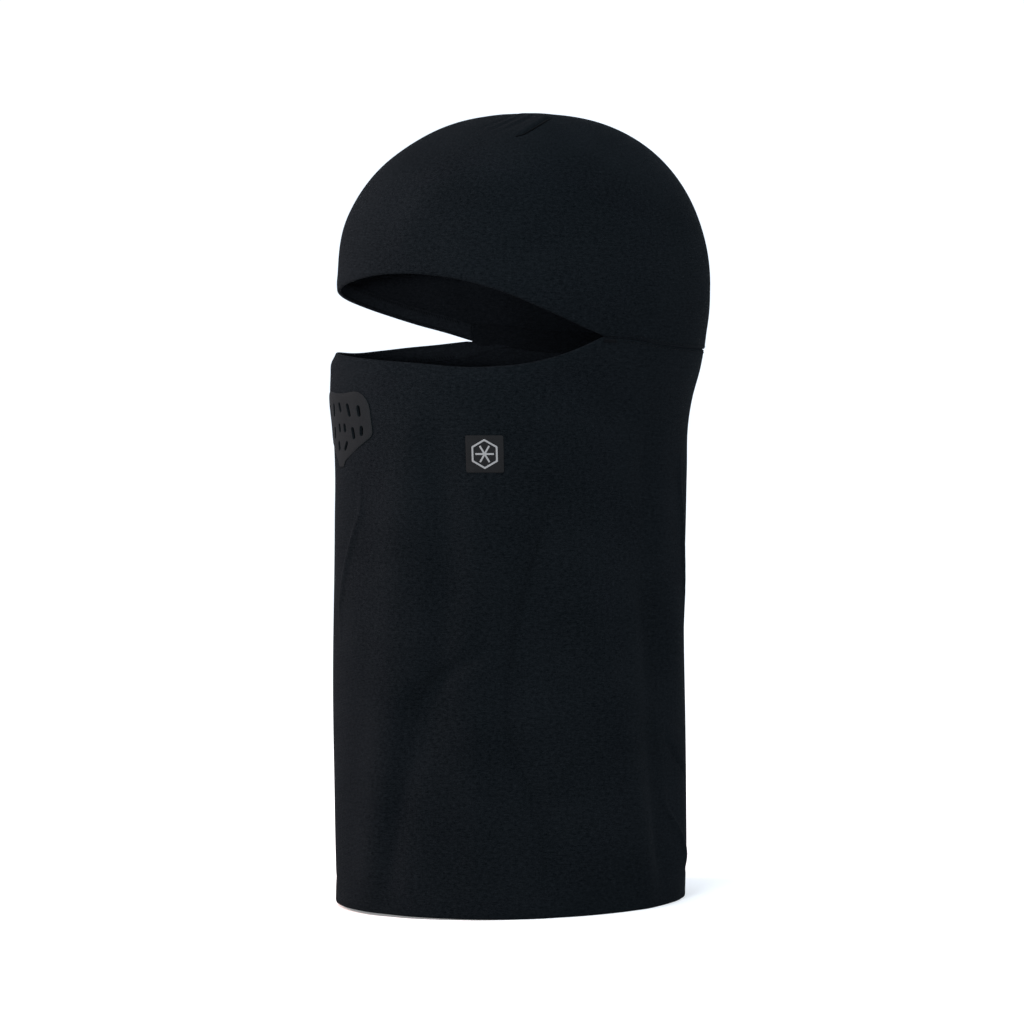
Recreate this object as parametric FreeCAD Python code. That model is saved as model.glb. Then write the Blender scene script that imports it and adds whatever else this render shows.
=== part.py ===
"""Hinged balaclava in stretch knit: a crown and a long neck tube, joined by a seam round the back only.

Units are millimetres. +Z is up, the face looks along -Y and +X is the wearer's left.
The origin is on the surface that the bottom hem stands on, under the middle of the object.

The cloth is shown as worn, at its real size. Two closed forms give every layer its shape: the neck
form, lofted through ellipses, and the crown form, a leaning superelliptic dome. Each can be drawn
inset by any depth, so a layer of cloth is one form less the same form inset further.
Side-view curves, drawn in the YZ plane and swept across X, trim the layers to their edges.
"""

import FreeCAD, Part
import math
import os

Vector = FreeCAD.Vector

# ---------------------------------------------------------------- driving dimensions
HEIGHT = 416.0  # bottom hem to the top of the crown
CLOTH = 1.0  # knit thickness
PLY_GAP = 0.1  # between two plies of one body
BODY_GAP = 0.3  # between cloth of two bodies
FACING = 0.8  # thickness of a turned-in hem
HEM_DEPTH = 9.0  # how far the turned-in hems of the face opening reach
NECK_HEM_DEPTH = 15.0
THREAD = 0.4  # how far a row of stitches stands out
STITCH_ROW = 0.8  # width of a row of stitches

# Face opening and back seam, in side view. The corners of the opening are where crown and neck meet.
CORNER_Y = 8.0
CORNER_Z = 296.0
MASK_FRONT_Z = CORNER_Z - 8.7  # edge of the mask at the nose
MASK_DIP_Z = CORNER_Z - 10.7  # its lowest stretch, on the cheek
BROW_FRONT_Z = CORNER_Z + 28.0  # edge of the crown at the forehead
SEAM_BACK_Z = CORNER_Z - 5.6  # back seam at the nape

# Neck form: height, front, back and half width of each ellipse.
NECK_STATIONS = [
    (0.0, -101.7, 91.3, 75.0),
    (60.0, -101.8, 91.2, 75.0),
    (130.0, -101.8, 91.2, 75.0),
    (200.0, -101.3, 91.2, 75.0),
    (228.0, -101.2, 91.2, 75.1),
    (248.0, -102.9, 92.2, 75.4),
    (266.0, -105.0, 95.2, 75.8),
    (282.0, -104.8, 99.6, 76.3),
    (294.0, -103.4, 101.8, 76.8),
    (306.0, -101.0, 103.2, 77.2),
]

# Crown form: an ellipse at the widest level, a superelliptic dome above it, drawn in slightly below.
CROWN_HALF_WIDTH = 79.0
CROWN_HALF_LENGTH = 102.0
CROWN_CENTRE_Y = 3.2  # at the widest level
CROWN_WIDEST_Z = 326.0
CROWN_EXPONENT = 2.18  # 2 would be an ellipse
CROWN_LEAN = 0.03  # how far the dome leans back per unit of height
CROWN_DRAW_IN = 0.984  # girth at the back seam, as a share of the widest
CROWN_FOOT_Z = 282.0

# Vent patch over the mouth, and its slots: rows of short cuts through patch and knit.
PATCH_TOP_Z = CORNER_Z - 27.6
PATCH_SHOULDER_Z = CORNER_Z - 50.0
PATCH_BOTTOM_Z = CORNER_Z - 66.4
PATCH_HALF_WIDTH = 25.0
PATCH_CHIN_HALF_WIDTH = 3.6
PATCH_CORNER_RADIUS = 9.0
PATCH_THICKNESS = 0.45
SLOT_WIDTH = 2.5
VENT_SLOTS = (  # middle (x, height), length, tilt in degrees; each one off the middle has a mirror image
    (0.0, CORNER_Z - 35.8, 5.4, 14),
    (8.8, CORNER_Z - 37.2, 7.0, 12),
    (17.2, CORNER_Z - 37.6, 5.8, 2),
    (3.1, CORNER_Z - 46.4, 4.6, 0),
    (11.0, CORNER_Z - 49.0, 6.2, 9),
    (17.6, CORNER_Z - 47.8, 5.2, -8),
    (4.2, CORNER_Z - 55.6, 5.2, -22),
)

# Label on the wearer's left cheek.
LABEL_ANGLE = 60.3  # round from the front, as an ellipse parameter
LABEL_Z = CORNER_Z - 59.2
LABEL_SIZE = 19.2
LABEL_THICKNESS = 0.4
EMBLEM_RADIUS = 7.6
EMBLEM_LINE = 0.9
EMBLEM_THICKNESS = 0.15

# Sewn details
BARTACK_LENGTH = 6.4
BARTACK_HEIGHT = 1.8
TAB_WIDTH = 13.0
TAB_LENGTH = 22.0
DART_LENGTH = 28.5  # in plan
DART_START = 30.7  # distance in plan from the top of the crown to the dart's inner end
DART_BEARING = 6.2  # bearing of that end, forward of square to the side
DART_TURN = 60.4  # bearing along which the dart runs
DART_RIDGE = 1.6

REACH = 150.0  # beyond every surface of the object


# ---------------------------------------------------------------- side-view curves
def mask_edge_curve(shift=0.0):
    """Edge of the mask, from far in front to the corner of the opening, as an edge in the YZ plane."""
    points = [
        (-REACH, MASK_FRONT_Z),
        (-104.0, MASK_FRONT_Z),
        (-60.0, MASK_DIP_Z),
        (-10.0, CORNER_Z - 4.8),
        (CORNER_Y, CORNER_Z),
    ]
    return side_curve(points, shift)


def brow_edge_curve(shift=0.0):
    """Edge of the crown over the forehead, from far in front to the corner of the opening."""
    points = [
        (-REACH, BROW_FRONT_Z),
        (-100.0, BROW_FRONT_Z),
        (-76.0, CORNER_Z + 24.7),
        (-51.0, CORNER_Z + 18.6),
        (-26.0, CORNER_Z + 10.7),
        (CORNER_Y, CORNER_Z),
    ]
    return side_curve(points, shift)


def seam_curve(shift=0.0):
    """Back seam, from the corner of the opening to far behind."""
    points = [
        (CORNER_Y, CORNER_Z),
        (29.0, CORNER_Z - 1.1),
        (46.0, CORNER_Z - 3.2),
        (76.0, SEAM_BACK_Z + 0.4),
        (106.0, SEAM_BACK_Z),
        (REACH, SEAM_BACK_Z),
    ]
    return side_curve(points, shift)


def side_curve(points, shift):
    spline = Part.BSplineCurve()
    spline.interpolate([Vector(0, y, z + shift) for y, z in points])
    return spline.toShape()


def region(edges, z_far):
    """Everything between a chain of side-view edges, running front to back, and the level z_far."""
    first = edges[0].Vertexes[0].Point
    last = edges[-1].Vertexes[-1].Point
    corners = [last, Vector(0, last.y, z_far), Vector(0, first.y, z_far), first]
    closing = [Part.makeLine(a, b) for a, b in zip(corners, corners[1:])]
    face = Part.Face(Part.Wire(list(edges) + closing))
    return swept_across(face)


def band_region(upper, lower):
    """Everything between two side-view edges that run front to back."""
    ends = [
        Part.makeLine(upper.Vertexes[-1].Point, lower.Vertexes[-1].Point),
        Part.makeLine(upper.Vertexes[0].Point, lower.Vertexes[0].Point),
    ]
    wire = Part.Wire(Part.__sortEdges__([upper, ends[0], lower, ends[1]]))
    return swept_across(Part.Face(wire))


def swept_across(face):
    face.translate(Vector(-REACH, 0, 0))
    return face.extrude(Vector(2 * REACH, 0, 0))


def block(x0, x1, y0, y1, z0, z1):
    return Part.makeBox(x1 - x0, y1 - y0, z1 - z0, Vector(x0, y0, z0))


# ---------------------------------------------------------------- the two forms
def neck_wall(inset):
    """The neck form's side, inset by a depth: a smooth surface through the station ellipses.

    Every station is the same unit circle, stretched, so each of the circle's poles makes one smooth
    column up the neck.
    """
    circle = unit_circle()
    heights = [station[0] for station in NECK_STATIONS]
    columns = []
    for pole in circle.getPoles():
        points = []
        for z, front, back, half_width in NECK_STATIONS:
            half_length = (back - front) / 2 - inset
            points.append(Vector(pole.x * (half_width - inset), (front + back) / 2 + pole.y * half_length, z))
        column = Part.BSplineCurve()
        column.interpolate(Points=points, Parameters=heights)
        columns.append(column)
    upright = columns[0]
    surface = Part.BSplineSurface()
    surface.buildFromPolesMultsKnots(
        [column.getPoles() for column in columns],
        circle.getMultiplicities(),
        upright.getMultiplicities(),
        circle.getKnots(),
        upright.getKnots(),
        True,
        False,
        circle.Degree,
        upright.Degree,
    )
    return surface.toShape()


def unit_circle():
    """A closed smooth curve round the unit circle, starting at the back."""
    steps = 24
    turns = [2 * math.pi * i / steps for i in range(steps)]
    circle = Part.BSplineCurve()
    circle.interpolate(Points=[Vector(-math.sin(a), math.cos(a), 0) for a in turns], PeriodicFlag=True)
    return circle


def rim(wall, z):
    """The wall's closed edge at a level."""
    edges = [e for e in wall.Edges if all(abs(v.Z - z) < 1e-4 for v in e.Vertexes)]
    return Part.Wire(edges)


def crown_form(inset):
    """The crown form, inset by a depth: a unit profile turned round Z, then stretched and sheared."""
    rise = HEIGHT - CROWN_WIDEST_Z
    half_width = CROWN_HALF_WIDTH - inset
    half_length = CROWN_HALF_LENGTH - inset
    profile = [
        (CROWN_DRAW_IN - 0.006, CROWN_FOOT_Z - CROWN_WIDEST_Z),
        (CROWN_DRAW_IN + 0.004, (CROWN_FOOT_Z - CROWN_WIDEST_Z) * 0.62),
        (0.997, (CROWN_FOOT_Z - CROWN_WIDEST_Z) * 0.25),
    ]
    steps = 12
    for i in range(steps + 1):
        turn = math.pi / 2 * i / steps
        radius = abs(math.cos(turn)) ** (2 / CROWN_EXPONENT)
        height = abs(math.sin(turn)) ** (2 / CROWN_EXPONENT)
        profile.append((radius if i < steps else 0.0, height * (rise - inset)))
    points = [Vector(0, radius * half_width, z) for radius, z in profile]
    spline = Part.BSplineCurve()
    spline.interpolate(points)
    foot = Vector(0, 0, points[0].z)
    wire = Part.Wire(
        [
            spline.toShape(),
            Part.makeLine(points[-1], foot),
            Part.makeLine(foot, points[0]),
        ]
    )
    dome = Part.Face(wire).revolve(Vector(), Vector(0, 0, 1), 360)
    stretch = FreeCAD.Matrix()
    stretch.A22 = half_length / half_width
    stretch.A23 = CROWN_LEAN
    stretch.A24 = CROWN_CENTRE_Y
    stretch.A34 = CROWN_WIDEST_Z
    return dome.transformGeometry(stretch)


def neck_layer(outer, inner):
    """Neck cloth between two insets: two walls, closed by a flat ring at each end."""
    walls = [neck_wall(outer), neck_wall(inner)]
    rings = [Part.Face([rim(wall, NECK_STATIONS[end][0]) for wall in walls]) for end in (0, -1)]
    shell = Part.Shell(walls + rings)
    shell.sewShape()
    layer = Part.Solid(shell)
    layer.fix(1e-7, 1e-7, 1e-7)
    if layer.Volume < 0:
        layer.reverse()
    return layer


def crown_layer(outer, inner):
    return crown_form(outer).cut(crown_form(inner))


# ---------------------------------------------------------------- crown pieces
def crown_boundary(shift=0.0):
    return [brow_edge_curve(BODY_GAP + shift), seam_curve(BODY_GAP + shift)]


def crown_shell():
    above = region(crown_boundary(), HEIGHT + REACH)
    return crown_layer(0, CLOTH).common(above)


def brow_edge_facing():
    """Turned-in hem of the crown's face edge, inside the shell."""
    start = CLOTH + PLY_GAP
    band = band_region(brow_edge_curve(BODY_GAP), brow_edge_curve(BODY_GAP + HEM_DEPTH))
    return crown_layer(start, start + FACING).common(band)


def brow_edge_stitching():
    """Row of stitches along the inner edge of the brow hem."""
    start = CLOTH + PLY_GAP + FACING
    low = BODY_GAP + HEM_DEPTH - 1.6
    band = band_region(brow_edge_curve(low), brow_edge_curve(low + STITCH_ROW))
    return crown_layer(start, start + THREAD).common(band)


def back_seam_allowance():
    """Seam allowance of the back seam, pressed up inside the crown."""
    start = CLOTH + PLY_GAP
    band = band_region(seam_curve(BODY_GAP + 0.2), seam_curve(BODY_GAP + HEM_DEPTH))
    behind = block(-REACH, REACH, CORNER_Y + PLY_GAP, REACH, 0, HEIGHT)
    return crown_layer(start, start + FACING).common(band).common(behind)


def back_seam_upper_stitching():
    """Row of stitches on the crown side of the back seam."""
    band = band_region(seam_curve(BODY_GAP + 0.6), seam_curve(BODY_GAP + 0.6 + STITCH_ROW))
    behind = block(-REACH, REACH, CORNER_Y + 10.0, REACH, 0, HEIGHT)
    return crown_layer(-THREAD, 0).common(band).common(behind)


def crown_dart_seams():
    """A short dart each side of the top, as the ridge of seam allowance inside the crown."""
    start = CLOTH + PLY_GAP
    layer = crown_layer(start, start + DART_RIDGE)
    bearing = math.radians(DART_BEARING)
    darts = []
    for side in (1, -1):
        strip = Part.makeBox(DART_LENGTH, DART_RIDGE, REACH, Vector(0, -DART_RIDGE / 2, 0))
        strip.rotate(Vector(), Vector(0, 0, 1), -DART_TURN)
        strip.translate(Vector(DART_START * math.cos(bearing), -DART_START * math.sin(bearing), 0))
        if side < 0:
            strip = strip.mirror(Vector(), Vector(1, 0, 0))
        strip.translate(Vector(0, crown_top_y(), CROWN_WIDEST_Z))
        darts.append(layer.common(strip))
    return Part.makeCompound(darts)


def crown_top_y():
    return CROWN_CENTRE_Y + CROWN_LEAN * (HEIGHT - CROWN_WIDEST_Z)


# ---------------------------------------------------------------- neck pieces
def neck_tube():
    above = region([mask_edge_curve(), seam_curve()], HEIGHT)
    tube = neck_layer(0, CLOTH).cut(above)
    return tube.cut(Part.makeCompound(vent_slots()))


def neck_hem_facing():
    """Turned-in bottom hem; its fold stops just short of the surface that the tube stands on."""
    start = CLOTH + PLY_GAP
    band = block(-REACH, REACH, -REACH, REACH, CLOTH * 0.6, NECK_HEM_DEPTH)
    return neck_layer(start, start + FACING).common(band)


def mask_hem(outer, inner, low, high):
    """Part of the mask's hem between two depths below its edge."""
    band = band_region(mask_edge_curve(-low), mask_edge_curve(-high))
    ahead = block(-REACH, REACH, -REACH, CORNER_Y - 4.0, 0, HEIGHT)
    return neck_layer(outer, inner).common(band).common(ahead)


def mask_edge_facing():
    """Turned-in hem of the mask's edge, inside the tube."""
    start = CLOTH + PLY_GAP
    return mask_hem(start, start + FACING, 0.2, HEM_DEPTH)


def mask_edge_stitching():
    """Row of stitches along the lower edge of the mask's hem."""
    start = CLOTH + PLY_GAP + FACING
    low = HEM_DEPTH - 1.6
    return mask_hem(start, start + THREAD, low - STITCH_ROW, low)


def back_seam_lower_stitching():
    """Row of stitches on the neck side of the back seam."""
    band = band_region(seam_curve(-0.6 - STITCH_ROW), seam_curve(-0.6))
    behind = block(-REACH, REACH, CORNER_Y + 10.0, REACH, 0, HEIGHT)
    return neck_layer(-THREAD, 0).common(band).common(behind)


def corner_bartack(side):
    """Dense bar of stitches that stops the seam from opening at one corner of the face opening."""
    near, far = sorted((0, side * REACH))
    front = CORNER_Y + 0.8
    top = CORNER_Z - 0.9
    bar = block(near, far, front, front + BARTACK_LENGTH, top - BARTACK_HEIGHT, top)
    return neck_layer(-0.7, 0).common(bar)


def size_tab():
    """Blank folded tab, held by the back seam inside the nape."""
    start = CLOTH + 0.05
    top = SEAM_BACK_Z - 0.5
    bar = block(-TAB_WIDTH / 2, TAB_WIDTH / 2, 0, REACH, top - TAB_LENGTH, top)
    return neck_layer(start, start + 0.7).common(bar)


# ---------------------------------------------------------------- vent patch
def patch_outline():
    """Shield outline in the XZ plane: square shoulders, tapering to a blunt chin."""
    corners = [
        (PATCH_HALF_WIDTH, PATCH_TOP_Z, PATCH_CORNER_RADIUS),
        (PATCH_HALF_WIDTH, PATCH_SHOULDER_Z, PATCH_CORNER_RADIUS / 2),
        (PATCH_CHIN_HALF_WIDTH, PATCH_BOTTOM_Z, PATCH_CORNER_RADIUS / 3),
    ]
    corners += [(-x, z, radius) for x, z, radius in reversed(corners)]
    points = [Vector(x, 0, z) for x, z, _ in corners]
    arcs = []
    for i, (_, _, radius) in enumerate(corners):
        here = points[i]
        to_last = (points[i - 1] - here).normalize()
        to_next = (points[(i + 1) % len(points)] - here).normalize()
        half = to_last.getAngle(to_next) / 2
        run = radius / math.tan(half)
        bisector = (to_last + to_next).normalize()
        middle = here + bisector * (radius / math.sin(half) - radius)
        arcs.append((here + to_last * run, middle, here + to_next * run))
    edges = []
    for i, (start, middle, end) in enumerate(arcs):
        edges.append(Part.Arc(start, middle, end).toShape())
        edges.append(Part.makeLine(end, arcs[(i + 1) % len(arcs)][0]))
    return Part.Face(Part.Wire(edges))


def vent_slots():
    """Cutters for the vent slots, running back from in front of the face."""
    slots = []
    for x, z, length, tilt in VENT_SLOTS:
        for side in (1, -1) if x else (1,):
            cutter = block(-SLOT_WIDTH / 2, SLOT_WIDTH / 2, -REACH, -REACH / 2, -length / 2, length / 2)
            cutter.rotate(Vector(), Vector(0, 1, 0), -side * tilt)
            cutter.translate(Vector(side * x, 0, z))
            slots.append(cutter)
    return slots


def vent_patch():
    """Bonded film over the mouth, cut through by the same slots as the knit behind it."""
    face = patch_outline()
    face.translate(Vector(0, -REACH, 0))
    prism = face.extrude(Vector(0, REACH, 0))
    film = neck_layer(-PATCH_THICKNESS - 0.05, -0.05).common(prism)
    return film.cut(Part.makeCompound(vent_slots()))


# ---------------------------------------------------------------- label
def label_placement():
    """Frame on the cheek: X along the cloth towards the back, Y up, Z out of the cloth."""
    nearest = min(NECK_STATIONS, key=lambda station: abs(station[0] - LABEL_Z))
    _, front, back, half_width = nearest
    half_length = (back - front) / 2
    angle = math.radians(LABEL_ANGLE)
    point = Vector(
        half_width * math.sin(angle),
        (front + back) / 2 - half_length * math.cos(angle),
        LABEL_Z,
    )
    along = Vector(
        half_width * math.cos(angle), half_length * math.sin(angle), 0
    ).normalize()
    out = along.cross(Vector(0, 0, 1))
    rotation = FreeCAD.Rotation(along, Vector(0, 0, 1), out, "ZXY")
    return FreeCAD.Placement(point, rotation)


def on_label(face, outer, inner):
    """A flat outline in the label's frame, pressed onto the curved cloth as a layer."""
    prism = face.extrude(Vector(0, 0, 12))
    prism.translate(Vector(0, 0, -6))
    prism.Placement = label_placement().multiply(prism.Placement)
    return neck_layer(outer, inner).common(prism)


def label_base():
    half = LABEL_SIZE / 2
    square = Part.makePlane(LABEL_SIZE, LABEL_SIZE, Vector(-half, -half, 0))
    return on_label(square, -LABEL_THICKNESS - 0.05, -0.05)


def label_emblem():
    """Generic mark: a plain six-armed snow star inside a hexagon."""
    frame = hexagon(EMBLEM_RADIUS).cut(hexagon(EMBLEM_RADIUS - EMBLEM_LINE))
    arms = [arm(angle) for angle in (0, 60, 120)]
    star = arms[0].multiFuse(arms[1:]).removeSplitter()
    rise = LABEL_THICKNESS + 0.05
    layers = [on_label(shape.Faces[0], -rise - EMBLEM_THICKNESS, -rise) for shape in (frame, star)]
    return Part.makeCompound(layers)


def hexagon(radius):
    turns = [math.radians(angle) for angle in range(30, 391, 60)]
    return Part.Face(Part.makePolygon([Vector(math.cos(a), math.sin(a), 0) * radius for a in turns]))


def arm(angle):
    reach = EMBLEM_RADIUS * 0.62
    bar = Part.makePlane(2 * reach, EMBLEM_LINE, Vector(-reach, -EMBLEM_LINE / 2, 0))
    bar.rotate(Vector(), Vector(0, 0, 1), angle)
    return bar


# ---------------------------------------------------------------- export
def pieces():
    return {
        "crown_shell": crown_shell(),
        "crown_dart_seams": crown_dart_seams(),
        "brow_edge_facing": brow_edge_facing(),
        "brow_edge_stitching": brow_edge_stitching(),
        "back_seam_allowance": back_seam_allowance(),
        "back_seam_upper_stitching": back_seam_upper_stitching(),
        "neck_tube": neck_tube(),
        "neck_hem_facing": neck_hem_facing(),
        "back_seam_lower_stitching": back_seam_lower_stitching(),
        "corner_bartack_left": corner_bartack(1),
        "corner_bartack_right": corner_bartack(-1),
        "size_tab": size_tab(),
        "vent_patch": vent_patch(),
        "label_base": label_base(),
        "label_emblem": label_emblem(),
        "mask_edge_facing": mask_edge_facing(),
        "mask_edge_stitching": mask_edge_stitching(),
    }


def main():
    os.makedirs("parts", exist_ok=True)
    for name, shape in pieces().items():
        solids = shape.Solids
        kept = solids[0] if len(solids) == 1 else Part.makeCompound(solids)
        print(f"{name}: solids {len(solids)}, valid {kept.isValid()}, volume {kept.Volume / 1000:.2f} cm3")
        kept.exportStep(os.path.join("parts", name + ".step"))


main()
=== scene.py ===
"""Looks of the hinged balaclava: knit cloth, hems, seams, stitches, vent patch and label.

Shapes are worked out in millimetres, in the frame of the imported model, and become metres as meshes
are made. A place on the cloth is a pair: its turn, in radians round the object from the front (-Y)
towards the wearer's left (+X), and how far along it is, which is the height on the neck tube and
the length of arc up a meridian on the crown. Every detail is laid on the draped cloth through the
same two functions, neck_place and crown_place, so it follows each fold.
"""

import math

import bpy
import numpy as np
from mathutils.geometry import delaunay_2d_cdt
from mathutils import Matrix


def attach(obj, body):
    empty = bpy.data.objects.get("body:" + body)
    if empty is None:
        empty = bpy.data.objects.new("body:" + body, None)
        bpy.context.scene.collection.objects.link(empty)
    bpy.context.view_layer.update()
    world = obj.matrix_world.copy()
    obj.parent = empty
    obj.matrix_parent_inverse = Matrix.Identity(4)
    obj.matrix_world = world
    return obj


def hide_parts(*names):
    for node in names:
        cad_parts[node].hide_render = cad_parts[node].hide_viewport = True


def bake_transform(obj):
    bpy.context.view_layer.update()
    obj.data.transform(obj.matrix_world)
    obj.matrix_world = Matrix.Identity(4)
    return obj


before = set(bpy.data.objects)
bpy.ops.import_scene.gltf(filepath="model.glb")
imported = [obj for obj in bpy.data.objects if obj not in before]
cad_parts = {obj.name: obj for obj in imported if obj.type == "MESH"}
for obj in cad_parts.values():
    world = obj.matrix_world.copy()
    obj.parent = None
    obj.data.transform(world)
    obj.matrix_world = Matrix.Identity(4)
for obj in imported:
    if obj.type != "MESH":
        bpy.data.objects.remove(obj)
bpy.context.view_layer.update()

# ---- sizes, in millimetres
MM = 0.001
CLOTH = 1.0
FOLD = 2.0  # thickness of the cloth where it is folded at a free edge
COLUMNS = 480
HEIGHT = 416.0
CORNER_Y = 8.0
CORNER_Z = 296.0
SEAM_GAP = 0.3
HEM_DEPTH = 9.0
NECK_HEM_DEPTH = 15.0
HEM_LIFT = 1.6  # how far the bottom hem lifts off the floor in front
PLY = 0.8  # thickness of a turned-in edge
PLY_GAP = 0.05  # between the cloth and its turned-in edge
FOLD_REACH = 2.6  # how far from a free edge the fold's double thickness goes
NECK_GIRTH = 541.0  # lengths round the cloth, for its knit
CROWN_ROUND = 571.0
EDGE_RADIUS = 86.0

NECK_STATIONS = np.array(  # height, front, back, half width
    [
        (0.0, -101.7, 91.3, 75.0),
        (60.0, -101.8, 91.2, 75.0),
        (130.0, -101.8, 91.2, 75.0),
        (200.0, -101.3, 91.2, 75.0),
        (228.0, -101.2, 91.2, 75.1),
        (248.0, -102.4, 92.2, 75.4),
        (266.0, -104.2, 95.4, 75.9),
        (282.0, -103.4, 100.0, 76.6),
        (294.0, -101.8, 102.0, 77.4),
        (306.0, -100.0, 103.2, 78.1),
    ]
)
SEAM_HALF_LENGTH = 102.0  # half the length, front to back, of the line that the pieces meet on
CROWN_HALF_WIDTH = 79.0
CROWN_HALF_LENGTH = 102.0
CROWN_CENTRE_Y = 3.2
CROWN_WIDEST_Z = 326.0
CROWN_EXPONENT = 2.18
CROWN_LEAN = 0.03
CROWN_FOOT = np.array([(282.0, 0.972), (298.7, 0.984), (315.0, 0.996), (326.0, 1.0)])  # height, girth

# Side-view edges of the two garment pieces: (y, height above the corner of the face opening)
MASK_EDGE = np.array([(-110.0, -8.7), (-104.0, -8.7), (-60.0, -10.7), (-10.0, -4.8), (8.0, 0.0)])
BROW_EDGE = np.array(
    [(-110.0, 28.0), (-100.0, 28.0), (-76.0, 24.7), (-51.0, 18.6), (-26.0, 10.7), (8.0, 0.0)]
)
BACK_SEAM = np.array(
    [(8.0, 0.0), (29.0, -1.1), (46.0, -3.2), (76.0, -4.9), (106.0, -5.0), (115.0, -5.0)]
)
# The worn cloth is pulled to one side: turn in degrees, then how much higher the mask's edge and the
# brow's edge lie there on the left, and lower on the right
PULLED = np.array(
    [
        (0, 0, 0),
        (20, -2.2, 3.8),
        (42, -3.4, 5.6),
        (60, -4.8, 4.9),
        (75, -4.6, 2.7),
        (86, -2.6, 0.8),
        (95, 0, 0),
    ]
)

# Folds of the tube: path from the bottom up as (height, turn in degrees), rise, half width
FOLDS = [
    (((8, 85), (53, 79), (88, 71), (129, 71), (206, 80)), -2.8, 8.0),
    (((30, 81), (53, 78), (88, 70), (129, 70), (196, 79)), -1.3, 2.4),
    (((4, 120), (46, 113), (120, 99), (201, 83), (240, 78)), 3.2, 12.0),
    (((4, 25), (38, 28), (78, 34), (121, 44), (138, 60)), -2.7, 8.0),
    (((4, 60), (60, 57), (104, 58)), 1.8, 10.0),
    (((10, 18), (60, 22), (130, 27), (210, 31), (262, 36)), 2.6, 13.0),
    (((90, 42), (150, 47), (215, 47), (250, 44)), -2.6, 9.0),
    (((110, 128), (150, 120), (190, 110), (235, 101), (262, 104)), -2.0, 11.0),
    (((16, 127), (90, 122), (170, 120), (240, 118)), -3.4, 9.0),
    (((158, -4), (180, 2), (206, 11)), 1.4, 2.4),
    (((160, 147), (190, 144), (216, 141)), 1.2, 2.4),
    (((22, 149), (36, 141), (52, 131)), 1.5, 2.6),
    (((66, 148), (76, 139), (86, 132)), -1.0, 2.2),
    (((12, 148), (80, 152), (170, 142), (240, 150)), 1.2, 16.0),
    (((20, 134), (90, 132), (160, 124)), -1.5, 10.0),
    (((10, 176), (120, 168), (236, 174)), -1.6, 14.0),
    (((14, -158), (110, -150), (200, -156)), 1.9, 15.0),
    (((20, -128), (90, -122), (190, -112)), -2.2, 10.0),
    (((24, -126), (90, -121), (170, -114)), -0.8, 2.4),
    (((8, -104), (80, -98), (176, -88), (230, -84)), 2.4, 13.0),
    (((30, -80), (90, -72), (150, -76), (205, -80)), -2.0, 8.0),
    (((6, -42), (60, -52), (120, -60)), 1.6, 12.0),
    (((6, -22), (90, -34), (180, -36), (246, -28)), -1.8, 12.0),
]
# Folds of the crown, in the same terms: beside the corners of the opening, in front and behind
CROWN_FOLDS = [
    (((298, 99), (320, 94), (346, 88)), 1.0, 7.0),
    (((296, 110), (322, 105), (350, 101)), -0.9, 7.0),
    (((298, -98), (320, -94), (346, -90)), 0.9, 7.0),
    (((296, -112), (322, -106), (350, -100)), -0.8, 7.0),
    (((324, 22), (345, 30), (370, 36)), 0.9, 12.0),
    (((322, -30), (345, -24), (370, -18)), -0.7, 12.0),
    (((294, 150), (330, 156), (372, 150)), -0.8, 14.0),
]

# The left dart, in plan from the top of the crown: its inner end and direction
DART_START = np.array([30.5, -3.3])
DART_AIM = np.array([0.494, -0.870])
DART_LENGTH = 28.5
DART_BOW = 1.9  # how far the line bows out, and how far its outer end hooks back
DART_HOOK = 4.0


# ---- curves through given points
def smooth_through(knots, values, at):
    """Smooth curve through values (one row or number per knot), held flat past both ends."""
    knots, values, at = np.asarray(knots, float), np.asarray(values, float), np.asarray(at, float)
    slopes = np.gradient(values, knots, axis=0)
    i = np.clip(np.searchsorted(knots, at) - 1, 0, len(knots) - 2)
    step = knots[i + 1] - knots[i]
    t = np.clip((at - knots[i]) / step, 0, 1)
    if values.ndim > 1:
        t, step = t[..., None], step[..., None]
    start, end = values[i], values[i + 1]
    return (
        start * (1 + 2 * t) * (1 - t) ** 2
        + end * t * t * (3 - 2 * t)
        + step * t * (1 - t) * (slopes[i] * (1 - t) - slopes[i + 1] * t)
    )


def ease(t):
    t = np.clip(t, 0, 1)
    return t * t * (3 - 2 * t)


def bump(distance, width):
    return np.exp(-((distance / width) ** 2))


def unit(vectors):
    return vectors / np.linalg.norm(vectors, axis=-1, keepdims=True)


# ---- edges of the two pieces
def side_height(turn, front_edge, pulled):
    """Height of a free edge in front of the corners, and of the back seam behind them."""
    y = -SEAM_HALF_LENGTH * np.cos(turn)
    in_front = smooth_through(front_edge[:, 0], front_edge[:, 1], y)
    around = (turn + math.pi) % (2 * math.pi) - math.pi
    degrees = np.degrees(np.abs(around))
    in_front = in_front + np.sign(around) * smooth_through(PULLED[:, 0], pulled, degrees)
    behind = smooth_through(BACK_SEAM[:, 0], BACK_SEAM[:, 1], y)
    return CORNER_Z + np.where(y < CORNER_Y, in_front, behind)


def neck_top(turn):
    return side_height(turn, MASK_EDGE, PULLED[:, 1])


def crown_low(turn):
    return side_height(turn, BROW_EDGE, PULLED[:, 2]) + SEAM_GAP


def freedom(turn):
    """1 where the edge is free, 0 where it is sewn, with a short change at the corner."""
    return 1 - ease((-SEAM_HALF_LENGTH * np.cos(turn) - CORNER_Y + 5.0) / 5.0)


CORNER_TURN = math.acos(-CORNER_Y / SEAM_HALF_LENGTH)


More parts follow.
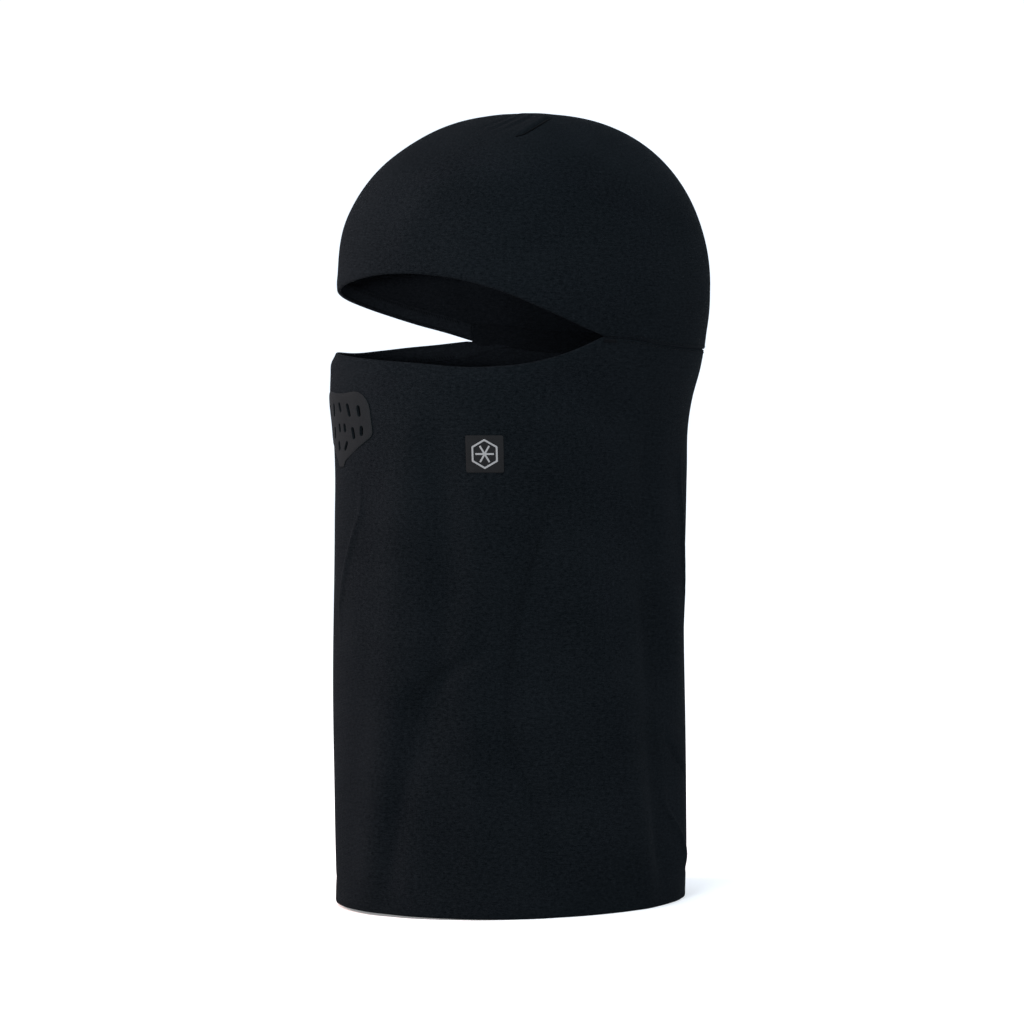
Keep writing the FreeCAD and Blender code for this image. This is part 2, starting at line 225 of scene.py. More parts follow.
# ---- forms and drape
def neck_form(turn, height):
    front, back, half_width = np.moveaxis(
        smooth_through(NECK_STATIONS[:, 0], NECK_STATIONS[:, 1:], height), -1, 0
    )
    y = (front + back) / 2 - (back - front) / 2 * np.cos(turn)
    return np.stack([half_width * np.sin(turn), y, height + 0 * turn], -1)


def crown_profile():
    """Arc length, height and girth up a meridian of the crown, from its foot to near its top."""
    low = np.linspace(CROWN_FOOT[0, 0], CROWN_WIDEST_Z, 60)[:-1]
    swing = np.linspace(0, math.pi / 2, 900)[:-4]
    rise = HEIGHT - CROWN_WIDEST_Z
    height = np.concatenate([low, CROWN_WIDEST_Z + rise * np.sin(swing) ** (2 / CROWN_EXPONENT)])
    foot = smooth_through(CROWN_FOOT[:, 0], CROWN_FOOT[:, 1], low)
    girth = np.concatenate([foot, np.cos(swing) ** (2 / CROWN_EXPONENT)])
    steps = np.hypot(np.diff(height), np.diff(girth) * 90.0)
    return np.concatenate([[0], np.cumsum(steps)]), height, girth


CROWN_ARC, CROWN_RISE, CROWN_GIRTH = crown_profile()


def crown_form(turn, arc):
    height = np.interp(arc, CROWN_ARC, CROWN_RISE)
    girth = np.interp(arc, CROWN_ARC, CROWN_GIRTH)
    middle = CROWN_CENTRE_Y + CROWN_LEAN * (height - CROWN_WIDEST_Z)
    x = CROWN_HALF_WIDTH * girth * np.sin(turn)
    y = middle - CROWN_HALF_LENGTH * girth * np.cos(turn)
    return np.stack([x, y, height + 0 * turn], -1)


def arc_at(height):
    return np.interp(height, CROWN_RISE, CROWN_ARC)


def crown_edge(turn):
    """Arc length at the crown's lower edge."""
    return arc_at(crown_low(turn))


def outward(form, turn, along):
    around = form(turn + 1e-3, along) - form(turn - 1e-3, along)
    upward = form(turn, along + 0.5) - form(turn, along - 0.5)
    return unit(np.cross(around, upward))


def seam_roll(turn, distance):
    """How far the cloth turns in beside the back seam, drawn tighter at each stitch."""
    sewn = 1 - freedom(turn)
    nape = 0.6 - 0.42 * ease(-np.cos(turn) * 1.6)
    gather = 1 + 0.25 * np.sin(turn * 190) + 0.2 * np.sin(turn * 77 + 1.0)
    ripple = 0.2 * np.sin(turn * 61 + 2 * np.sin(turn * 9)) * np.exp(-distance / 7.0)
    return sewn * nape * (0.75 * gather * np.exp(-distance / 0.9) + ripple)


def folded(folds, degrees, height):
    """Sum of soft ridges and creases that run along their paths."""
    out = 0.0
    for path, rise, width in folds:
        heights, turns = np.array(path, float).T
        line = smooth_through(heights, turns, height)
        aside = (degrees - line + 180) % 360 - 180
        tail = min(30.0, (heights[-1] - heights[0]) / 2)
        begun = ease((height - heights[0] + tail) / tail / 1.5)
        to_come = ease((heights[-1] + tail - height) / tail / 1.5)
        out = out + rise * (begun * to_come) * bump(aside * 1.5, width)
    return out


def nape_fullness(turn, height):
    """The cloth stands a little fuller round the back, most of all beside the seam."""
    return ease(-np.cos(turn)) * (0.9 + 1.6 * bump(height - 298.0, 26.0))


def neck_drape(turn, height):
    """How far the tube's cloth stands out from its form."""
    degrees = np.degrees(turn)
    top = neck_top(turn)
    slack = ease((top - height) / 70.0) * (0.35 + 0.65 * ease(height / 30.0))
    out = folded(FOLDS, degrees, height)
    out = out + 0.45 * np.sin(3 * turn + height / 88 + 1.3) + 0.3 * np.sin(5 * turn - height / 52)
    out = out + 0.16 * np.sin(9 * turn + height / 31 + 2.0) + 0.1 * np.sin(14 * turn - height / 19)
    hem = -0.5 * bump(height - NECK_HEM_DEPTH, 2.0) + 0.12 * np.sin(turn * 34) * bump(height, 9.0)
    front = ease(np.cos(turn) * 1.4)
    below = top - height
    lip = freedom(turn) * (0.5 * bump(below - 5.0, 5.0) - 1.9 * front * ease(1 - below / 8.0))
    roll = seam_roll(turn, np.maximum(below, 0)) + 0.7 * ease(-np.cos(turn)) * bump(below, 16.0)
    full = nape_fullness(turn, height)
    return slack * out + hem * 0.5 + lip + full - roll - 0.6 * ease(np.cos(turn))


def dart_bend(t):
    """How far a dart's line bends, t of the way along it."""
    return DART_BOW * np.sin(np.clip(t, 0, 1) * math.pi) - DART_HOOK * ease((t - 0.85) / 0.4)


def dart_offset(x, y):
    """Shape of the two darts: a groove, a rolled fold in front of it, and gathers that fan out."""
    across = np.abs(x) - DART_START[0]
    along = y - DART_START[1]
    run = across * DART_AIM[0] + along * DART_AIM[1]
    aside = across * DART_AIM[1] - along * DART_AIM[0]  # positive towards the front and the middle
    t = run / DART_LENGTH
    curl = aside + dart_bend(t)
    body = ease((t + 0.15) / 0.2) * ease((1.15 - t) / 0.4)
    groove = -0.8 * bump(curl, 0.9) * body
    roll = 0.95 * bump(curl - 2.6, 2.2) * body + 0.3 * bump(curl - 8.0, 5.0) * body
    spread = ease((t + 0.4) / 0.5) * ease((1.35 - t) / 0.7) * bump(curl - 13.0, 10.0)
    gathers = 0.34 * np.sin(curl * 1.1 + 2.2 * t + np.sin(t * 5)) * spread
    return groove + roll + gathers


def crown_drape(turn, arc):
    """How far the crown's cloth stands out from its form."""
    x, y, z = np.moveaxis(crown_form(turn, arc), -1, 0)
    y = y - (CROWN_CENTRE_Y + CROWN_LEAN * (HEIGHT - CROWN_WIDEST_Z))
    edge = arc - crown_edge(turn)
    front, back = ease(np.cos(turn)), ease(-np.cos(turn))
    out = 0.32 * np.sin(2 * turn + arc / 40 + 0.6) + 0.2 * np.sin(5 * turn - arc / 34)
    out = out + 0.12 * np.sin(9 * turn + arc / 17 + 1.0)
    beside = folded(CROWN_FOLDS, np.degrees(turn), z) * ease(edge / 10.0)
    slack = ease(edge / 40.0) * ease((CROWN_ARC[-1] - arc) / 40.0)
    lip = 0.35 * freedom(turn) * bump(edge - 4.0, 4.0)
    top = np.where(z > 380, dart_offset(x, y), 0)
    forehead = 1.2 * front * bump(z - 356.0, 18.0) - 1.2 * front * bump(z - 400.0, 14.0)
    full = nape_fullness(turn, z) * ease((360.0 - z) / 50.0)
    full = full - back * (bump(edge, 12.0) - 1.2 * bump(z - 336.0, 26.0))
    crest = -1.1 * bump(np.hypot(x, y), 40.0)
    roll = seam_roll(turn, np.maximum(edge, 0))
    return slack * out + beside + lip + top + forehead + full + crest - roll


def draped(form, drape, turn, along, lift):
    turn, along = np.broadcast_arrays(np.asarray(turn, float), np.asarray(along, float))
    rise = drape(turn, along) + lift
    return form(turn, along) + outward(form, turn, along) * rise[..., None]


def neck_place(turn, height, lift=0.0):
    return draped(neck_form, neck_drape, turn, height, lift)


def crown_place(turn, arc, lift=0.0):
    return draped(crown_form, crown_drape, turn, arc, lift)


# ---- meshes
def add_mesh(name, points, faces, material):
    mesh = bpy.data.meshes.new(name)
    mesh.from_pydata((np.asarray(points, float) * MM).tolist(), [], faces)
    mesh.validate()
    mesh.polygons.foreach_set("use_smooth", [True] * len(mesh.polygons))
    mesh.materials.append(material)
    piece = bpy.data.objects.new(name, mesh)
    bpy.context.scene.collection.objects.link(piece)
    return piece


def ring_faces(rings, columns, around=True, closed=False):
    """Quads between neighbouring rings. around joins the last column to the first, closed the rings."""
    k = np.arange(rings if closed else rings - 1)
    i = np.arange(columns if around else columns - 1)
    k, i = (a.ravel() for a in np.meshgrid(k, i, indexing="ij"))
    k1, i1 = (k + 1) % rings, (i + 1) % columns
    return np.stack([k * columns + i, k * columns + i1, k1 * columns + i1, k1 * columns + i], -1)


def weave_uv(piece, columns, girth, along):
    """A UV map in metres of cloth: across the wales, and along them."""
    layer = piece.data.uv_layers.new(name="weave")
    corner = np.zeros(len(piece.data.loops), int)
    piece.data.loops.foreach_get("vertex_index", corner)
    sides = [face.loop_total for face in piece.data.polygons]
    face_of = np.repeat(np.arange(len(sides)), sides)
    column = corner % columns
    wraps = np.zeros(len(sides), bool)
    np.logical_or.at(wraps, face_of, column == columns - 1)
    column = np.where(wraps[face_of] & (column == 0), columns, column)
    u = column / columns * girth * MM
    v = along.ravel()[np.minimum(corner, along.size - 1)] * MM
    layer.data.foreach_set("uv", np.stack([u, v], -1).ravel())


def arc_points(steps):
    return [math.pi * (i + 1) / (steps + 1) for i in range(steps)]


def spaced_from_edge(fine, coarse):
    """Shares of the way from an edge, close together beside it and even further away."""
    out, step = [fine], fine
    while out[-1] + step < 1:
        out.append(out[-1] + step)
        step = min(step * 1.22, coarse)
    return np.array(out) / out[-1]


def line_inside(piece, first, last, material):
    """Gives the faces between two rings the cloth's inner material, a lighter copy of the knit: painted
    light.
    """
    piece.data.materials.append(material)
    for face in piece.data.polygons:
        rings = [v // COLUMNS for v in face.vertices]
        if min(rings) >= first and max(rings) <= last:
            face.material_index = 1


ALL_ROUND = np.linspace(0, 2 * math.pi, COLUMNS, endpoint=False) - math.pi
THICKNESS = CLOTH + (FOLD - CLOTH) * freedom(ALL_ROUND)
FOLD_STEPS = 5  # rings of points round a folded edge


def rings_on_cloth(place, rows):
    """Rings of points round the cloth, and how far along it they are, from rows of (along, depth)."""
    points = np.array([place(ALL_ROUND, along, -depth) for along, depth in rows])
    return points, np.array([along + 0 * ALL_ROUND for along, _ in rows])


def neck_cloth(material, lining):
    """The tube: up its outside, over the edge, down its inside and under the hem."""
    top = neck_top(ALL_ROUND)
    half = THICKNESS / 2
    outer = spaced_from_edge(0.0035, 0.0064)
    inner = spaced_from_edge(0.0035, 0.011)
    lifted = HEM_LIFT * ease((np.cos(ALL_ROUND + 0.45) + 0.2) / 1.2)
    low = FOLD / 2 + lifted
    tall = top - half - low
    rows = [(low + tall * (1 - share) / (1 - outer[0]), 0.0) for share in outer[::-1]]
    for angle in arc_points(FOLD_STEPS):
        rows.append((top - half + half * math.sin(angle), half * (1 - math.cos(angle))))
    for share in inner:
        height = low + tall * (1 - share) / (1 - inner[0])
        from_edge = np.minimum(top - height, height - lifted)
        thick = np.where(top - height < 20, THICKNESS, FOLD)
        rows.append((height, CLOTH + (thick - CLOTH) * ease((FOLD_REACH - from_edge) / 0.8)))
    for angle in arc_points(4):
        rows.append((low - FOLD / 2 * math.sin(angle), FOLD / 2 * (1 + math.cos(angle))))
    points, along = rings_on_cloth(neck_place, rows)
    points[..., 2] = np.maximum(points[..., 2], 0)
    faces = ring_faces(len(rows), COLUMNS, closed=True).tolist()
    piece = add_mesh("neck_cloth", points.reshape(-1, 3), faces, material)
    weave_uv(piece, COLUMNS, NECK_GIRTH, along)
    line_inside(piece, len(outer) + 3, len(outer) + FOLD_STEPS + len(inner) - 1, lining)
    return piece


def crown_cloth(material, lining):
    """The dome: down its outside, round the edge and up its inside, with both tops closed."""
    edge = crown_edge(ALL_ROUND)
    half = THICKNESS / 2
    pole = CROWN_ARC[-1] - 1.0
    outer = spaced_from_edge(0.006, 0.0078)
    inner = spaced_from_edge(0.006, 0.016)
    start = edge + half
    tall = pole - start
    rows = [(start + tall * (share - outer[0]) / (1 - outer[0]), 0.0) for share in outer[::-1]]
    for angle in arc_points(FOLD_STEPS):
        rows.append((start - half * math.sin(angle), half * (1 - math.cos(angle))))
    for share in inner:
        arc = start + tall * (share - inner[0]) / (1 - inner[0])
        rows.append((arc, CLOTH + (THICKNESS - CLOTH) * ease((FOLD_REACH - (arc - edge)) / 0.8)))
    count = len(rows)
    points, along = rings_on_cloth(crown_place, rows)
    points = points.reshape(-1, 3)
    tops = [points[:COLUMNS].mean(0), points[-COLUMNS:].mean(0)]
    faces = ring_faces(count, COLUMNS)[:, ::-1].tolist()
    outside, inside = count * COLUMNS, count * COLUMNS + 1
    last = (count - 1) * COLUMNS
    for i in range(COLUMNS):
        j = (i + 1) % COLUMNS
        faces.append((i, j, outside))
        faces.append((last + j, last + i, inside))
    piece = add_mesh("crown_cloth", np.vstack([points, tops]), faces, material)
    along = np.concatenate([along.ravel(), [CROWN_ARC[-1], CROWN_ARC[-1]]])
    weave_uv(piece, COLUMNS, CROWN_ROUND, along)
    line_inside(piece, len(outer) + 3, count + 1, lining)
    return piece


def band(name, place, turns, low, high, material, closed=False):
    """A turned-in ply inside the cloth, from low to high on it, with rounded long edges."""
    half = PLY / 2
    section = [(0.0, 0.0, 0.0), (1.0, 0.0, 0.0)]  # share of the way up, depth in the ply, reach past
    section += [(1.0, half * (1 - math.cos(a)), half * math.sin(a)) for a in arc_points(3)]
    section += [(1.0, PLY, 0.0), (0.5, PLY, 0.0), (0.0, PLY, 0.0)]
    section += [(0.0, half * (1 + math.cos(a)), -half * math.sin(a)) for a in arc_points(3)]
    rings = []
    for share, depth, past in section:
        rings.append(place(turns, low + (high - low) * share + past, -(CLOTH + PLY_GAP + depth)))
    points = np.array(rings)
    count = len(turns)
    faces = ring_faces(len(rings), count, around=closed, closed=True).tolist()
    if not closed:
        faces.append([k * count for k in range(len(rings))])
        faces.append([k * count + count - 1 for k in reversed(range(len(rings)))])
    piece = add_mesh(name, points.reshape(-1, 3), faces, material)
    heights = np.array([low + (high - low) * row[0] for row in section])
    weave_uv(piece, count, np.ptp(turns) * EDGE_RADIUS, heights)
    return piece


def threads(name, strands, radius, material, sides=6):
    """Many short lengths of thread in one mesh. A strand is an array of points, tapered at its ends."""
    points, faces = [], []
    for strand in strands:
        strand = np.asarray(strand, float)
        run = unit(np.gradient(strand, axis=0))
        side = unit(np.cross(run, np.array([0.13, 0.29, 0.95])))
        other = np.cross(run, side)
        taper = np.sin(np.linspace(0.28, math.pi - 0.28, len(strand))) ** 0.5
        base = len(points)
        for i, centre in enumerate(strand):
            for a in 2 * math.pi * np.arange(sides) / sides:
                offset = side[i] * math.cos(a) + other[i] * math.sin(a)
                points.append(centre + offset * radius * taper[i])
        faces += (base + ring_faces(len(strand), sides)).tolist()
        faces.append([base + k for k in reversed(range(sides))])
        faces.append([base + (len(strand) - 1) * sides + k for k in range(sides)])
    piece = add_mesh(name, points, faces, material)
    weave_uv(piece, sides, sides, np.arange(len(points)) / sides)
    return piece


def even_turns(place, along_at, start, end, pitch):
    """Turns from start to end that are pitch apart on the cloth."""
    turns = np.linspace(start, end, 2000)
    line = place(turns, along_at(turns))
    run = np.concatenate([[0], np.cumsum(np.linalg.norm(np.diff(line, axis=0), axis=1))])
    count = max(1, int(run[-1] / pitch))
    return np.interp(np.linspace(0, run[-1], count + 1), run, turns)


def stitch_row(place, along_at, start, end, pitch, share=0.8, lean=0.0, lift=0.2):
    """Stitches end to end along a line. lean slants each one across the line."""
    strands = []
    marks = even_turns(place, along_at, start, end, pitch)
    for a, b in zip(marks, marks[1:]):
        t = np.linspace(0, share, 6)
        turns = a + (b - a) * t
        along = along_at(turns) + lean * (t / share - 0.5)
        arch = lift * np.sin(np.linspace(0, math.pi, 6)) - 0.12
        strands.append(place(turns, along, arch))
    return strands


# ---- flat shapes pressed on the cloth
def inside(polygon, points):
    """Which points lie inside a polygon."""
    x, y = points[:, 0], points[:, 1]
    hit = np.zeros(len(points), bool)
    for (x0, y0), (x1, y1) in zip(polygon, np.roll(polygon, -1, axis=0)):
        crosses = (y0 > y) != (y1 > y)
        with np.errstate(divide="ignore", invalid="ignore"):
            hit ^= crosses & (x < (x1 - x0) * (y - y0) / (y1 - y0) + x0)
    return hit


def pressed_shape(name, loops, to_cloth, low, high, step, material):
    """A thin shape from low to high above the cloth. A loop inside another one is a hole in it."""
    vertices, edges = [], []
    for loop in loops:
        base = len(vertices)
        vertices += [tuple(p) for p in loop]
        edges += [(base + i, base + (i + 1) % len(loop)) for i in range(len(loop))]
    box = np.vstack(loops)
    xs = np.arange(box[:, 0].min() + step / 2, box[:, 0].max(), step)
    ys = np.arange(box[:, 1].min() + step / 2, box[:, 1].max(), step)
    grid = np.array([(x, y) for x in xs for y in ys])
    far = np.ones(len(grid), bool)
    for loop in loops:
        gaps = np.linalg.norm(grid[:, None] - np.asarray(loop)[None], axis=2).min(1)
        far &= gaps > step * 0.45
    vertices += [tuple(p) for p in grid[far]]
    flat, _, triangles, *_ = delaunay_2d_cdt(vertices, edges, [], 0, 1e-5)
    flat = np.array([tuple(p) for p in flat])
    triangles = np.array(triangles)
    centres = flat[triangles].mean(1)
    keep = np.zeros(len(triangles), bool)
    for loop in loops:
        keep ^= inside(np.asarray(loop), centres)
    triangles = triangles[keep]
    count = len(flat)
    top = to_cloth(flat, high)
    bottom = to_cloth(flat, low)
    faces = [tuple(t) for t in triangles] + [tuple(t[::-1] + count) for t in triangles]
    sides = dict.fromkeys(edge for a, b, c in triangles for edge in ((a, b), (b, c), (c, a)))
    faces += [(b, a, a + count, b + count) for a, b in sides if (b, a) not in sides]
    piece = add_mesh(name, np.vstack([top, bottom]), faces, material)
    rounding = piece.modifiers.new("rounding", "BEVEL")
    rounding.width = min(0.14, (high - low) * 0.35) * MM
    rounding.segments = 2
    rounding.limit_method = "ANGLE"
    rounding.angle_limit = math.radians(50)
    return piece


SQUARE = ((-1, -1), (1, -1), (1, 1), (-1, 1))


def ray(angle):
    return np.array([math.cos(angle), math.sin(angle)])


def rounded_polygon(corners, steps=6):
    """Polygon corners (x, y, radius), anticlockwise, with arcs in place of its corners."""
    points = np.array([(x, y) for x, y, _ in corners], float)
    out = []
    for i, (_, _, radius) in enumerate(corners):
        here = points[i]
        to_last = unit(points[i - 1] - here)
        to_next = unit(points[(i + 1) % len(points)] - here)
        half = math.acos(np.clip(to_last @ to_next, -1, 1)) / 2
        start, end = here + to_last * radius / math.tan(half), here + to_next * radius / math.tan(half)
        middle = here + unit(to_last + to_next) * radius / math.sin(half)
        a0 = math.atan2(*(start - middle)[::-1])
        sweep = (math.atan2(*(end - middle)[::-1]) - a0 + math.pi) % (2 * math.pi) - math.pi
        out += [middle + radius * ray(a0 + sweep * t) for t in np.linspace(0, 1, steps)]
    return np.array(out)


def slot_outline(x, z, length, width, tilt):
    """Round-ended slot, tilted from upright."""
    r, half = width / 2, length / 2 - width / 2
    ends = [(half, np.linspace(0, math.pi, 8)), (-half, np.linspace(math.pi, 2 * math.pi, 8))]
    points = np.array([(r * math.cos(a), mid + r * math.sin(a)) for mid, turns in ends for a in turns])
    a = math.radians(tilt)
    spun = points @ np.array([[math.cos(a), math.sin(a)], [-math.sin(a), math.cos(a)]])
    return spun + (x, z)


# Heights of the patch and its slots are given down from the corner of the opening
PATCH = [  # corners of the left half of the vent patch, from the chin up: x, down, radius
    (2.9, 66.4, 1.2),
    (4.6, 63.4, 4.0),
    (25.0, 50.0, 4.5),
    (24.6, 27.6, 9.5),
]
SLOT_WIDTH = 2.5
SLOTS = [  # x, down, length, tilt in degrees; each one off the middle has a mirror image
    (0.0, 35.8, 5.4, 14),
    (8.8, 37.2, 7.2, 12),
    (17.2, 37.6, 6.0, 2),
    (3.1, 46.4, 4.8, 0),
    (11.0, 49.0, 6.4, 9),
    (17.6, 47.8, 5.4, -8),
    (4.2, 55.6, 5.4, -22),
]


def patch_loops():
    """Outline of the vent patch and of its slots."""
    left = [(x, CORNER_Z - down, radius) for x, down, radius in PATCH]
    right = [(-x, z, radius) for x, z, radius in reversed(left)]
    loops = [rounded_polygon(left + right)]
    for x, down, length, tilt in SLOTS:
        for side in (1, -1) if x else (1,):
            loops.append(slot_outline(side * x, CORNER_Z - down, length, SLOT_WIDTH, side * tilt))
    return loops


def pulled_aside(flat):
    """The patch's chin is drawn a little to the wearer's right, with the cloth."""
    shift = -3.5 * ease((CORNER_Z - 50.0 - flat[:, 1]) / 16.0)
    return flat + np.stack([shift, 0 * shift], -1)


def front_to_cloth(flat, lift):
    """Points (x, height) in front view, carried onto the front of the tube."""
    flat = pulled_aside(flat)
    front, back, half_width = smooth_through(NECK_STATIONS[:, 0], NECK_STATIONS[:, 1:], flat[:, 1]).T
    return neck_place(np.arcsin(np.clip(flat[:, 0] / half_width, -1, 1)), flat[:, 1], lift)


CUTTER_FRONT, CUTTER_BACK = -112.0, -90.0  # Y of the ends of what cuts the slots


def cut_slots(cloth):
    """Cuts the vent slots through the cloth too."""
    points, faces = [], []
    for outline in patch_loops()[1:]:
        outline = pulled_aside(outline)
        base, count = len(points), len(outline)
        points += [(px, y, pz) for y in (CUTTER_FRONT, CUTTER_BACK) for px, pz in outline]
        faces.append([base + i for i in range(count)])
        faces.append([base + count + i for i in reversed(range(count))])
        for i in range(count):
            j = (i + 1) % count
            faces.append((base + j, base + i, base + count + i, base + count + j))
    cutter = add_mesh("slot_cutter", points, faces, cloth.data.materials[0])
    cut = cloth.modifiers.new("slots", "BOOLEAN")
    cut.object = cutter
    cut.operation = "DIFFERENCE"
    cut.solver = "EXACT"
    bpy.context.view_layer.update()
    graph = bpy.context.evaluated_depsgraph_get()
    result = bpy.data.meshes.new_from_object(cloth.evaluated_get(graph))
    cloth.modifiers.remove(cut)
    cloth.data = result
    bpy.data.objects.remove(cutter)


# ---- materials
def node(tree, kind, inputs=(), **settings):
    """Adds a shader node. inputs pair a socket with a value or with another node's output."""
    made = tree.nodes.new(kind)
    for name, value in settings.items():
        setattr(made, name, value)
    for socket, value in inputs:
        if isinstance(value, bpy.types.NodeSocket):
            tree.links.new(value, made.inputs[socket])
        else:
            made.inputs[socket].default_value = value
    return made


def maths(tree, operation, *values):
    return node(tree, "ShaderNodeMath", list(enumerate(values)), operation=operation).outputs[0]


def weighted(tree, *parts):
    """Sum of sockets, each given with its weight."""
    total, *others = (maths(tree, "MULTIPLY", *part) for part in parts)
    for term in others:
        total = maths(tree, "ADD", total, term)
    return total


def blank(name):
    material = bpy.data.materials.new(name)
    material.use_nodes = True
    material.node_tree.nodes.clear()
    return material, material.node_tree


def object_place(tree):
    return node(tree, "ShaderNodeTexCoord").outputs["Object"]


def between(tree, value, low, high):
    ends = [("Value", value), ("To Min", low), ("To Max", high)]
    return node(tree, "ShaderNodeMapRange", ends).outputs["Result"]


def surface(tree, colour, roughness, specular, *more):
    """Principled shader. more are further pairs of socket and value."""
    inputs = [("Base Color", colour), ("Roughness", roughness), ("Specular IOR Level", specular)]
    return node(tree, "ShaderNodeBsdfPrincipled", [*inputs, *more])


def finish_material(material, shader, height, depth, strength=1.0):
    tree = material.node_tree
    inputs = [("Height", height), ("Distance", depth * MM), ("Strength", strength)]
    relief = node(tree, "ShaderNodeBump", inputs)
    tree.links.new(relief.outputs["Normal"], shader.inputs["Normal"])
    out = node(tree, "ShaderNodeOutputMaterial")
    tree.links.new(shader.outputs[0], out.inputs["Surface"])
    return material


def stretched_noise(tree, place, scale, size, detail=3.0, roughness=0.55):
    spot = node(tree, "ShaderNodeVectorMath", [(0, place), (1, scale)], operation="MULTIPLY")
    inputs = [("Vector", spot.outputs[0]), ("Scale", size), ("Detail", detail)]
    return node(tree, "ShaderNodeTexNoise", [*inputs, ("Roughness", roughness)]).outputs["Fac"]


def ramp(tree, value, *stops):
    made = node(tree, "ShaderNodeValToRGB", [("Fac", value)])
    elements = made.color_ramp.elements
    while len(elements) < len(stops):
        elements.new(0.5)
    for element, (at, colour) in zip(elements, stops):
        element.position = at
        element.color = (*colour, 1.0)
    return made.outputs["Color"]


WALE, COURSE = 0.95, 0.8  # size of one stitch of the knit


def knit_material(name, dark, light, sheen=0.004):
    """Fine jersey: columns of small V stitches in a heathered yarn, with slubs along the courses."""
    material, tree = blank(name)

    def do(operation, *values):
        return maths(tree, operation, *values)

    def noise(across, along, *detail):
        return stretched_noise(tree, uv, (across, along, 1), 1.0, *detail)

    uv = node(tree, "ShaderNodeUVMap", uv_map="weave").outputs["UV"]
    split = node(tree, "ShaderNodeSeparateXYZ", [("Vector", uv)])
    wobble = noise(120, 120, 2.0)
    across = do("DIVIDE", split.outputs["X"], WALE * MM)
    across = do("ADD", across, do("MULTIPLY", wobble, 0.5))
    upward = do("DIVIDE", split.outputs["Y"], COURSE * MM)
    upward = do("ADD", upward, do("MULTIPLY", wobble, 0.35))
    leg = do("ABSOLUTE", do("SUBTRACT", do("FRACT", across), 0.5))
    slant = do("ADD", upward, do("MULTIPLY", leg, 1.3))
    loop = do("SINE", do("MULTIPLY", slant, 2 * math.pi))
    centre = do("SUBTRACT", 1.0, do("ABSOLUTE", do("SUBTRACT", leg, 0.25)))
    stitch = do("MULTIPLY", do("POWER", centre, 5.0), do("ADD", loop, 1.4))
    slub = noise(400, 1500, 4.0, 0.66)
    heather = noise(1150, 1900, 3.0, 0.7)
    cloud = noise(22, 30, 3.0, 0.5)
    lint = noise(700, 1100, 1.0, 0.5)
    marl = noise(480, 620, 2.0, 0.6)
    tone = weighted(tree, (slub, 0.28), (heather, 0.38), (marl, 0.24), (cloud, 0.10), (stitch, 0.012))
    colour = ramp(tree, tone, (0.39, dark), (0.64, light))
    fleck = do("MULTIPLY", do("GREATER_THAN", lint, 0.76), 0.35)
    flecked = [("Fac", fleck), ("Color1", colour), ("Color2", (*[c * 2.1 for c in light], 1.0))]
    colour = node(tree, "ShaderNodeMixRGB", flecked).outputs["Color"]
    height = weighted(tree, (stitch, 0.5), (slub, 1.3), (heather, 0.7))
    nap = [("Sheen Weight", sheen), ("Sheen Roughness", 0.42), ("Sheen Tint", (0.78, 0.86, 1.0, 1.0))]
    shader = surface(tree, colour, between(tree, heather, 0.82, 0.98), 0.3, ("IOR", 1.06), *nap)
    return finish_material(material, shader, height, 0.16, 0.9)


def thread_material(name, dark, light):
    """Twisted yarn."""
    material, tree = blank(name)
    place = object_place(tree)
    inputs = [("Vector", place), ("Scale", 900.0), ("Distortion", 3.0), ("Detail", 1.0)]
    twist = node(tree, "ShaderNodeTexWave", inputs, bands_direction="DIAGONAL").outputs["Fac"]
    fibre = stretched_noise(tree, place, (1, 1, 1), 2600.0, 2.0)
    tone = maths(tree, "MULTIPLY", maths(tree, "ADD", twist, fibre), 0.5)
    colour = ramp(tree, tone, (0.25, dark), (0.8, light))
    shader = surface(tree, colour, 0.7, 0.3, ("IOR", 1.12))
    return finish_material(material, shader, tone, 0.06)


def film_material(name, dark, light, grain, roughness, depth):
    """Smooth bonded film, with the cloth's texture showing faintly through it."""
    material, tree = blank(name)
    place = object_place(tree)
    weave = stretched_noise(tree, place, (1, 1, 2.2), grain, 3.0, 0.6)
    cloud = stretched_noise(tree, place, (1, 1, 1), 90.0, 2.0)
    colour = ramp(tree, weighted(tree, (weave, 0.6), (cloud, 0.4)), (0.3, dark), (0.7, light))
    rough = between(tree, weave, roughness - 0.08, roughness + 0.1)
    shader = surface(tree, colour, rough, 0.3, ("IOR", 1.1))
    return finish_material(material, shader, weave, depth)


def tape_material(name, dark, light):
    """Woven satin tape: fine ribs across it."""
    material, tree = blank(name)
    place = object_place(tree)
    inputs = [("Vector", place), ("Scale", 420.0), ("Distortion", 0.4)]
    ribs = node(tree, "ShaderNodeTexWave", inputs, bands_direction="Z").outputs["Fac"]
    mottle = stretched_noise(tree, place, (1, 1, 1), 500.0)
    colour = ramp(tree, weighted(tree, (ribs, 0.6), (mottle, 0.4)), (0.2, dark), (0.8, light))
    shader = surface(tree, colour, 0.45, 0.4)
    return finish_material(material, shader, ribs, 0.05)
